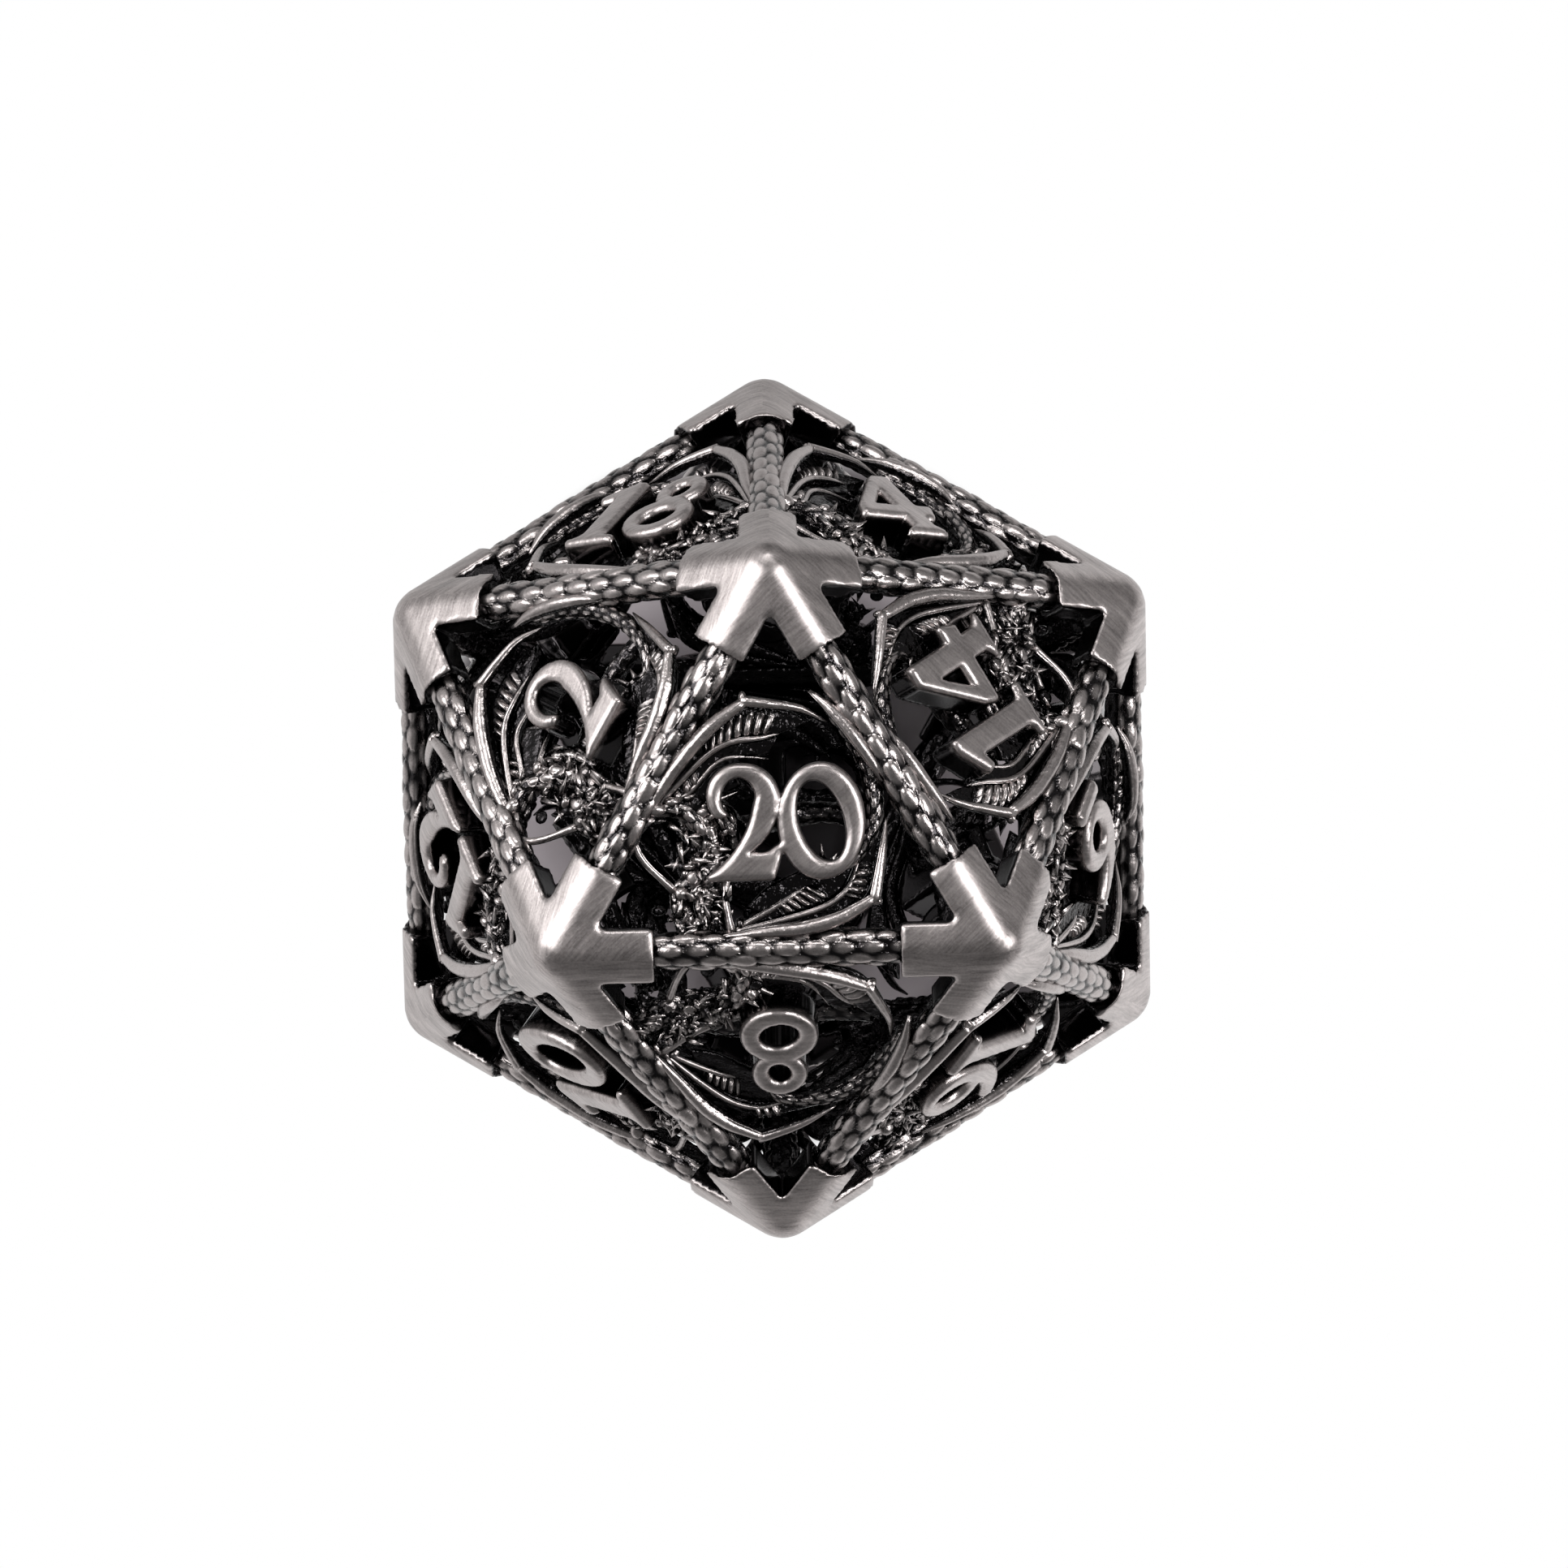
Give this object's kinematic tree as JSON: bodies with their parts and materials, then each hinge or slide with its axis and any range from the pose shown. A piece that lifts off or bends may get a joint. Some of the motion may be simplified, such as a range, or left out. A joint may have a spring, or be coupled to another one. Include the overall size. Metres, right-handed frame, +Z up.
{
  "type": "polyhedral die",
  "caption": "Hollow metal twenty-sided die: capped corners, scaled rods, and a dragon relief carrying a plain numeral in each open triangular face.",
  "frame": {"origin": "centre of the bounding box's base: on the surface the die rests on, under its centre", "axes": "+Z up, square to the face marked 20; +Y from the centre of that face towards the corner its numeral's head points to; +X to the right of that numeral"},
  "size_m": [0.0246, 0.0284, 0.023],
  "materials": {
    "cap": "zinc alloy plated antique silver, satin brushed on the facets",
    "rod": "zinc alloy plated antique silver, scales polished on their crowns, black patina between",
    "numeral": "zinc alloy plated antique silver, brushed tops, black patina on the side walls",
    "dragon": "zinc alloy plated antique silver, polished crests, glossy black patina in the recesses"
  },
  "bodies": {
    "root": {"corner_cap_top_north": "cap", "corner_cap_top_southwest": "cap", "corner_cap_top_southeast": "cap", "corner_cap_upper_south": "cap", "corner_cap_upper_northeast": "cap", "corner_cap_upper_northwest": "cap", "corner_cap_lower_north": "cap", "corner_cap_lower_southwest": "cap", "corner_cap_lower_southeast": "cap", "corner_cap_base_south": "cap", "corner_cap_base_northeast": "cap", "corner_cap_base_northwest": "cap", "rods_top_triangle": "rod", "rods_upper_slant": "rod", "rods_upper_drop": "rod", "rods_waist_zigzag": "rod", "rods_lower_drop": "rod", "rods_lower_slant": "rod", "rods_base_triangle": "rod", "numeral_01": "numeral", "numeral_02": "numeral", "numeral_03": "numeral", "numeral_04": "numeral", "numeral_05": "numeral", "numeral_06": "numeral", "numeral_07": "numeral", "numeral_08": "numeral", "numeral_09": "numeral", "numeral_10": "numeral", "numeral_11": "numeral", "numeral_12": "numeral", "numeral_13": "numeral", "numeral_14": "numeral", "numeral_15": "numeral", "numeral_16": "numeral", "numeral_17": "numeral", "numeral_18": "numeral", "numeral_19": "numeral", "numeral_20": "numeral", "dragon_01": "dragon", "dragon_02": "dragon", "dragon_03": "dragon", "dragon_04": "dragon", "dragon_05": "dragon", "dragon_06": "dragon", "dragon_07": "dragon", "dragon_08": "dragon", "dragon_09": "dragon", "dragon_10": "dragon", "dragon_11": "dragon", "dragon_12": "dragon", "dragon_13": "dragon", "dragon_14": "dragon", "dragon_15": "dragon", "dragon_16": "dragon", "dragon_17": "dragon", "dragon_18": "dragon", "dragon_19": "dragon", "dragon_20": "dragon"}
  },
  "joints": []
}
